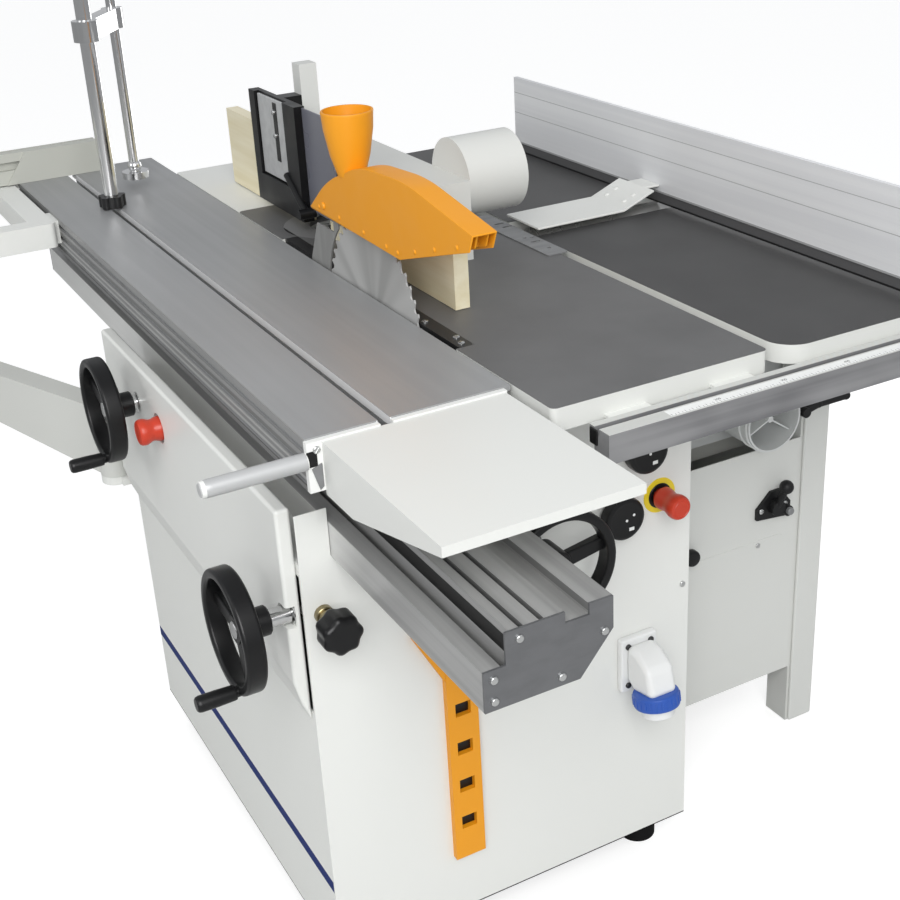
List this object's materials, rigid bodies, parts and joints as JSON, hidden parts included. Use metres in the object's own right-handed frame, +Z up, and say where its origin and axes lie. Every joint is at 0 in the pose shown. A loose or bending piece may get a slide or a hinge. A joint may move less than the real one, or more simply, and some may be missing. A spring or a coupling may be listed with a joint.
{
  "type": "combination woodworking machine",
  "caption": "Floor-standing combination machine: saw with sliding table, spindle moulder and planer-thicknesser on a white steel base, with handwheels and guards.",
  "frame": {"origin": "on the floor, under the middle of the machine's footprint box", "axes": "+X right from the saw to the planer, +Y feed direction away from the operator, +Z up"},
  "size_m": [1.68, 1.78, 1.26],
  "materials": {
    "white_paint": "satin powder coat",
    "slide_end_white": "satin paint, bare handle",
    "table_iron": "dark coated top, white painted edges",
    "machined_iron": "machined",
    "aluminium": "anodised, brushed along its length",
    "dark_plate": "dark milled plate",
    "bright_screw": "zinc plated",
    "steel": "ground",
    "blade_steel": "ground, fine turning marks",
    "motor_paint": "satin grey",
    "belt_rubber": "matt",
    "insert_black": "matt black",
    "board_wood": "planed pale wood",
    "inlet_plastic": "white body, blue collar",
    "guard_orange": "moulded orange",
    "hood_grey": "moulded grey",
    "chrome": "polished",
    "black_iron": "satin black",
    "black_plastic": "moulded black",
    "stop_red": "moulded red"
  },
  "bodies": {
    "base": {"cabinet_body": "white_paint", "front_panel": "white_paint", "left_upper_cover": "white_paint", "slide_beam": "aluminium", "beam_end_plates": "dark_plate", "panel_screws": "bright_screw", "saw_table": "table_iron", "table_inserts": "insert_black", "rear_table": "white_paint", "front_rail": "aluminium", "planer_base": "white_paint", "planer_front_panel": "white_paint", "planer_cheeks": "machined_iron", "planer_motor": "motor_paint", "planer_belt": "belt_rubber", "spindle_hood": "white_paint", "fence_boards": "board_wood", "power_inlet": "inlet_plastic", "tool_holder": "guard_orange", "lever_bracket": "black_iron", "chip_hood": "hood_grey"},
    "slide": {"slide_table": "aluminium", "slide_end_handle": "slide_end_white", "slide_front_cover": "white_paint", "clamp_column": "chrome", "outrigger_frame": "white_paint"},
    "saw_lift": {"saw_carriage": "machined_iron", "saw_motor": "motor_paint", "saw_belt": "belt_rubber", "riving_knife": "blade_steel"},
    "saw_blade": {"saw_arbor": "steel", "saw_blade": "blade_steel"},
    "saw_tilt": {"saw_trunnion": "machined_iron"},
    "clamp_arm": {"clamp_arm": "black_iron"},
    "clamp_screw": {"clamp_screw": "chrome"},
    "crosscut_fence": {"crosscut_fence": "aluminium"},
    "swing_arm": {"swing_arm": "white_paint"},
    "saw_motor_pulley": {"saw_motor_pulley": "steel"},
    "blade_guard": {"blade_guard": "guard_orange"},
    "spindle_quill": {"spindle_quill": "steel"},
    "spindle_shaft": {"spindle_shaft": "steel"},
    "cutter_guard": {"cutter_guard": "black_iron"},
    "infeed_table": {"infeed_table": "table_iron"},
    "outfeed_table": {"outfeed_table": "table_iron"},
    "planer_fence": {"planer_fence": "aluminium"},
    "bridge_guard": {"bridge_guard": "white_paint"},
    "cutterblock": {"cutterblock": "steel"},
    "infeed_roller": {"infeed_roller": "steel"},
    "outfeed_roller": {"outfeed_roller": "steel"},
    "thicknesser_bed": {"thicknesser_bed": "machined_iron"},
    "front_handwheel": {"front_handwheel": "black_plastic"},
    "low_handwheel": {"low_handwheel": "black_plastic"},
    "high_handwheel": {"high_handwheel": "black_plastic"},
    "front_stop": {"front_stop": "stop_red"},
    "side_stop": {"side_stop": "stop_red"},
    "low_knob": {"low_knob": "black_plastic"},
    "high_knob": {"high_knob": "black_plastic"},
    "lock_knob": {"lock_knob": "black_plastic"},
    "feed_lever": {"feed_lever": "black_iron"},
    "clamp_lever": {"clamp_lever": "black_iron"}
  },
  "joints": [
    {"name": "table_travel", "type": "slide", "parent": "base", "child": "slide", "axis": [0, 1, 0], "range_m": [-0.28, 0.6]},
    {"name": "clamp_arm_swing", "type": "hinge", "parent": "slide", "child": "clamp_arm", "pos_m": [-0.11, 0.516, 0.87], "axis": [0, 0, 1], "range_deg": [-90, 90]},
    {"name": "clamp_screw_travel", "type": "slide", "parent": "clamp_arm", "child": "clamp_screw", "axis": [0, 0, 1], "range_m": [-0.017, 0.1]},
    {"name": "crosscut_fence_swing", "type": "hinge", "parent": "slide", "child": "crosscut_fence", "pos_m": [-0.239, 0.813, 0.87], "axis": [0, 0, 1], "range_deg": [-45, 45]},
    {"name": "swing_arm_swing", "type": "hinge", "parent": "base", "child": "swing_arm", "pos_m": [-0.232, 0.28, 0.61], "axis": [0, 0, 1], "range_deg": [-10, 60]},
    {"name": "saw_tilt", "type": "hinge", "parent": "base", "child": "saw_tilt", "pos_m": [0.06, -0.186, 0.87], "axis": [0, 1, 0], "range_deg": [0, 20]},
    {"name": "saw_rise", "type": "slide", "parent": "saw_tilt", "child": "saw_lift", "axis": [0, 0, 1], "range_m": [-0.089, 0]},
    {"name": "blade_spin", "type": "hinge", "parent": "saw_lift", "child": "saw_blade", "pos_m": [0.06, -0.186, 0.828], "axis": [1, 0, 0], "continuous": true},
    {"name": "saw_motor_spin", "type": "hinge", "parent": "saw_lift", "child": "saw_motor_pulley", "pos_m": [0.06, -0.186, 0.66], "axis": [1, 0, 0], "continuous": true},
    {"name": "blade_guard_lift", "type": "hinge", "parent": "saw_lift", "child": "blade_guard", "pos_m": [0.0615, -0.072, 0.978], "axis": [-1, 0, 0], "range_deg": [0, 15]},
    {"name": "spindle_rise", "type": "slide", "parent": "base", "child": "spindle_quill", "axis": [0, 0, 1], "range_m": [0, 0.1]},
    {"name": "spindle_spin", "type": "hinge", "parent": "spindle_quill", "child": "spindle_shaft", "pos_m": [0.17, 0.181, 0.87], "axis": [0, 0, 1], "continuous": true},
    {"name": "cutter_guard_rise", "type": "slide", "parent": "base", "child": "cutter_guard", "axis": [0, 0, 1], "range_m": [0, 0.03]},
    {"name": "infeed_height", "type": "slide", "parent": "base", "child": "infeed_table", "axis": [0, 0, 1], "range_m": [0, 0.003]},
    {"name": "outfeed_fold", "type": "hinge", "parent": "base", "child": "outfeed_table", "pos_m": [0.75, 0.274, 0.85], "axis": [0, 1, 0], "range_deg": [0, 85]},
    {"name": "fence_tilt", "type": "hinge", "parent": "outfeed_table", "child": "planer_fence", "pos_m": [0.656, 0.274, 0.8704], "axis": [0, 1, 0], "range_deg": [0, 45]},
    {"name": "bridge_guard_rise", "type": "slide", "parent": "outfeed_table", "child": "bridge_guard", "axis": [0, 0, 1], "range_m": [0, 0.06]},
    {"name": "cutterblock_spin", "type": "hinge", "parent": "base", "child": "cutterblock", "pos_m": [0.395, -0.036, 0.835], "axis": [1, 0, 0], "continuous": true},
    {"name": "infeed_roller_spin", "type": "hinge", "parent": "base", "child": "infeed_roller", "pos_m": [0.395, -0.096, 0.815], "axis": [1, 0, 0], "continuous": true},
    {"name": "outfeed_roller_spin", "type": "hinge", "parent": "base", "child": "outfeed_roller", "pos_m": [0.395, 0.024, 0.815], "axis": [1, 0, 0], "continuous": true},
    {"name": "bed_travel", "type": "slide", "parent": "base", "child": "thicknesser_bed", "axis": [0, 0, 1], "range_m": [-0.17, 0]},
    {"name": "front_handwheel_turn", "type": "hinge", "parent": "base", "child": "front_handwheel", "pos_m": [0.113, -0.511, 0.609], "axis": [0, 1, 0], "range_deg": [-1612, 10]},
    {"name": "low_handwheel_turn", "type": "hinge", "parent": "base", "child": "low_handwheel", "pos_m": [-0.21, -0.489, 0.607], "axis": [1, 0, 0], "range_deg": [-10, 1210]},
    {"name": "high_handwheel_turn", "type": "hinge", "parent": "base", "child": "high_handwheel", "pos_m": [-0.21, 0.066, 0.691], "axis": [1, 0, 0], "range_deg": [-10, 1810]},
    {"name": "front_stop_press", "type": "slide", "parent": "base", "child": "front_stop", "axis": [0, 1, 0], "range_m": [0, 0.006], "stiffness_N_per_m": 1200},
    {"name": "side_stop_press", "type": "slide", "parent": "base", "child": "side_stop", "axis": [1, 0, 0], "range_m": [0, 0.006], "stiffness_N_per_m": 1200},
    {"name": "low_knob_turn", "type": "hinge", "parent": "base", "child": "low_knob", "pos_m": [0.248, -0.511, 0.613], "axis": [0, 1, 0], "range_deg": [-60, 60]},
    {"name": "high_knob_turn", "type": "hinge", "parent": "base", "child": "high_knob", "pos_m": [0.286, -0.511, 0.702], "axis": [0, 1, 0], "range_deg": [0, 90]},
    {"name": "lock_knob_turn", "type": "hinge", "parent": "base", "child": "lock_knob", "pos_m": [-0.185, -0.511, 0.605], "axis": [0, 1, 0], "range_deg": [-180, 180]},
    {"name": "feed_lever_swing", "type": "hinge", "parent": "base", "child": "feed_lever", "pos_m": [0.648, -0.365, 0.443], "axis": [0, 1, 0], "range_deg": [-25, 25]},
    {"name": "clamp_lever_swing", "type": "hinge", "parent": "base", "child": "clamp_lever", "pos_m": [0.674, -0.412, 0.612], "axis": [0, 1, 0], "range_deg": [-80, 20]}
  ],
  "couplings": [
    {"joint": "saw_motor_spin", "follows": "blade_spin", "ratio": 0.63158},
    {"joint": "outfeed_roller_spin", "follows": "infeed_roller_spin", "ratio": 1},
    {"joint": "front_handwheel_turn", "follows": "saw_rise", "rad_per_m": 314.16},
    {"joint": "low_handwheel_turn", "follows": "saw_tilt", "ratio": 60},
    {"joint": "high_handwheel_turn", "follows": "spindle_rise", "rad_per_m": 314.16}
  ]
}
